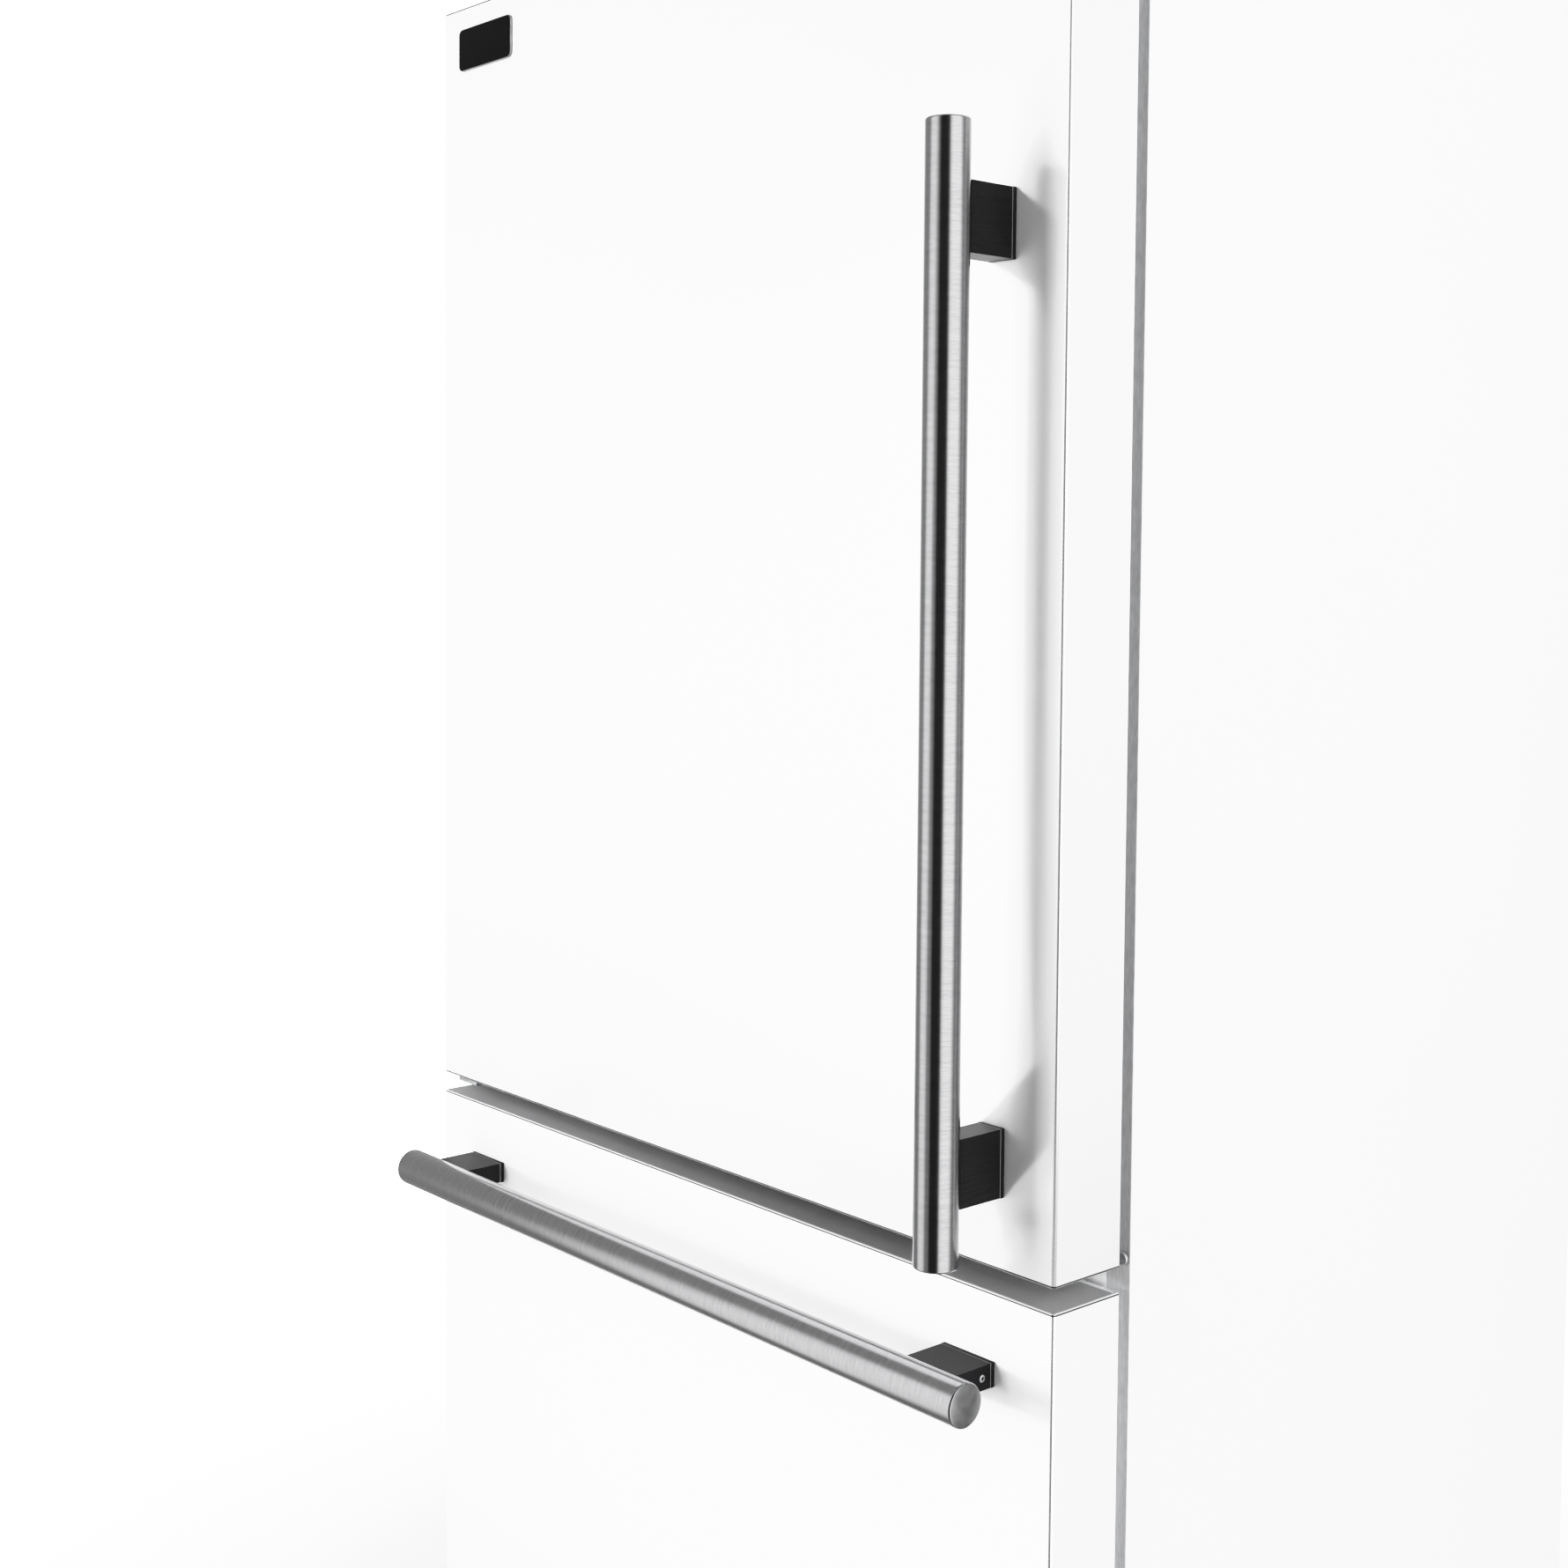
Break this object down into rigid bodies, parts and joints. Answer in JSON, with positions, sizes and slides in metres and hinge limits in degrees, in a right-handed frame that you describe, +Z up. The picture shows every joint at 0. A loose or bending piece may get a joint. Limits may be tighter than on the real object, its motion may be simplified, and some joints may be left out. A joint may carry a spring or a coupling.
{
  "type": "bottom-freezer refrigerator",
  "caption": "Tall white refrigerator with one side-hinged door above a full-width freezer drawer, each with a round steel bar handle on dark posts.",
  "frame": {"origin": "on the floor, under the middle of the bounding box of the closed appliance", "axes": "+Z up, -Y towards the person opening the door, +X to that person's right; the door's hinge is at -X"},
  "size_m": [0.826, 0.8156, 1.772],
  "materials": {
    "white_enamel": "gloss",
    "white_door_skin": "gloss",
    "grey_plastic": "satin",
    "liner_plastic": "satin",
    "insulating_foam": "matte",
    "zinc_plated_steel": "satin",
    "brushed_steel": "satin",
    "black_enamel": "satin",
    "dark_plastic": "matte",
    "gasket_rubber": "matte",
    "clear_plastic": "gloss",
    "shelf_glass": "polished",
    "copper_tube": "satin",
    "aluminium": "satin"
  },
  "bodies": {
    "cabinet": {"cabinet_shell": "white_enamel", "cabinet_foam": "insulating_foam", "fridge_liner": "liner_plastic", "freezer_liner": "liner_plastic", "rear_panel": "zinc_plated_steel", "compressor_cover": "zinc_plated_steel", "base_frame": "zinc_plated_steel", "toe_grille": "grey_plastic", "compressor": "black_enamel", "condenser_coil": "copper_tube", "evaporator_coil": "aluminium", "freezer_duct_panel": "liner_plastic", "fridge_duct_panel": "liner_plastic", "control_panel": "liner_plastic", "upper_shelf_frame": "liner_plastic", "upper_shelf_glass": "shelf_glass", "lower_shelf_frame": "liner_plastic", "lower_shelf_glass": "shelf_glass", "crisper_cover": "shelf_glass", "top_hinge_bracket": "zinc_plated_steel", "top_hinge_cover": "grey_plastic", "middle_hinge_bracket": "zinc_plated_steel", "hinge_hole_plug": "liner_plastic", "outer_slide_left": "zinc_plated_steel", "outer_slide_right": "zinc_plated_steel"},
    "door": {"door_skin": "white_door_skin", "door_top_cap": "grey_plastic", "door_bottom_cap": "grey_plastic", "door_liner": "liner_plastic", "door_liner_dyke": "liner_plastic", "door_gasket": "gasket_rubber", "badge_plate": "black_enamel", "door_handle_bar": "brushed_steel", "door_handle_post_lower": "black_enamel", "door_handle_post_upper": "black_enamel", "dairy_bin": "clear_plastic", "middle_bin": "clear_plastic", "bottle_bin": "clear_plastic"},
    "drawer": {"drawer_skin": "white_door_skin", "drawer_top_cap": "grey_plastic", "drawer_bottom_cap": "grey_plastic", "drawer_liner": "liner_plastic", "drawer_gasket": "gasket_rubber", "drawer_handle_bar": "brushed_steel", "drawer_handle_post_left": "black_enamel", "drawer_handle_post_right": "black_enamel", "drawer_slide_frame": "zinc_plated_steel", "freezer_basket": "clear_plastic"},
    "dairy_lid": {"dairy_lid": "clear_plastic"},
    "freezer_tray": {"freezer_tray": "clear_plastic"},
    "middle_slide_left": {"middle_slide_left": "zinc_plated_steel"},
    "middle_slide_right": {"middle_slide_right": "zinc_plated_steel"},
    "crisper_left": {"crisper_left": "clear_plastic"},
    "crisper_right": {"crisper_right": "clear_plastic"},
    "condenser_fan": {"condenser_fan": "dark_plastic"},
    "evaporator_fan": {"evaporator_fan": "liner_plastic"},
    "rear_roller_left": {"rear_roller_left": "dark_plastic"},
    "rear_roller_right": {"rear_roller_right": "dark_plastic"},
    "front_foot_left": {"front_foot_left": "dark_plastic"},
    "front_foot_right": {"front_foot_right": "dark_plastic"}
  },
  "joints": [
    {"name": "door_hinge", "type": "hinge", "parent": "cabinet", "child": "door", "pos_m": [-0.398, -0.30205, 0.6846], "axis": [0, 0, -1], "range_deg": [0, 120]},
    {"name": "drawer_slide", "type": "slide", "parent": "cabinet", "child": "drawer", "axis": [0, -1, 0], "range_m": [0, 0.43]},
    {"name": "middle_slide_left_travel", "type": "slide", "parent": "cabinet", "child": "middle_slide_left", "axis": [0, -1, 0], "range_m": [0, 0.2151]},
    {"name": "middle_slide_right_travel", "type": "slide", "parent": "cabinet", "child": "middle_slide_right", "axis": [0, -1, 0], "range_m": [0, 0.2151]},
    {"name": "freezer_tray_slide", "type": "slide", "parent": "drawer", "child": "freezer_tray", "axis": [0, 1, 0], "range_m": [0, 0.14]},
    {"name": "crisper_left_slide", "type": "slide", "parent": "cabinet", "child": "crisper_left", "axis": [0, -1, 0], "range_m": [0, 0.155]},
    {"name": "crisper_right_slide", "type": "slide", "parent": "cabinet", "child": "crisper_right", "axis": [0, -1, 0], "range_m": [0, 0.155]},
    {"name": "dairy_lid_hinge", "type": "hinge", "parent": "door", "child": "dairy_lid", "pos_m": [0, -0.24935, 1.56], "axis": [1, 0, 0], "range_deg": [0, 80]},
    {"name": "condenser_fan_spin", "type": "hinge", "parent": "cabinet", "child": "condenser_fan", "pos_m": [-0.024, 0.29285, 0.155], "axis": [1, 0, 0], "continuous": true},
    {"name": "evaporator_fan_spin", "type": "hinge", "parent": "cabinet", "child": "evaporator_fan", "pos_m": [0, 0.30685, 0.51], "axis": [0, 1, 0], "continuous": true},
    {"name": "rear_roller_left_spin", "type": "hinge", "parent": "cabinet", "child": "rear_roller_left", "pos_m": [-0.355, 0.34285, 0.022], "axis": [1, 0, 0], "continuous": true},
    {"name": "rear_roller_right_spin", "type": "hinge", "parent": "cabinet", "child": "rear_roller_right", "pos_m": [0.355, 0.34285, 0.022], "axis": [1, 0, 0], "continuous": true},
    {"name": "front_foot_left_turn", "type": "hinge", "parent": "cabinet", "child": "front_foot_left", "pos_m": [-0.345, -0.17715, 0], "axis": [0, 0, 1], "continuous": true},
    {"name": "front_foot_right_turn", "type": "hinge", "parent": "cabinet", "child": "front_foot_right", "pos_m": [0.345, -0.17715, 0], "axis": [0, 0, 1], "continuous": true}
  ],
  "couplings": [
    {"joint": "middle_slide_left_travel", "follows": "drawer_slide", "ratio": 0.5},
    {"joint": "middle_slide_right_travel", "follows": "drawer_slide", "ratio": 0.5}
  ]
}
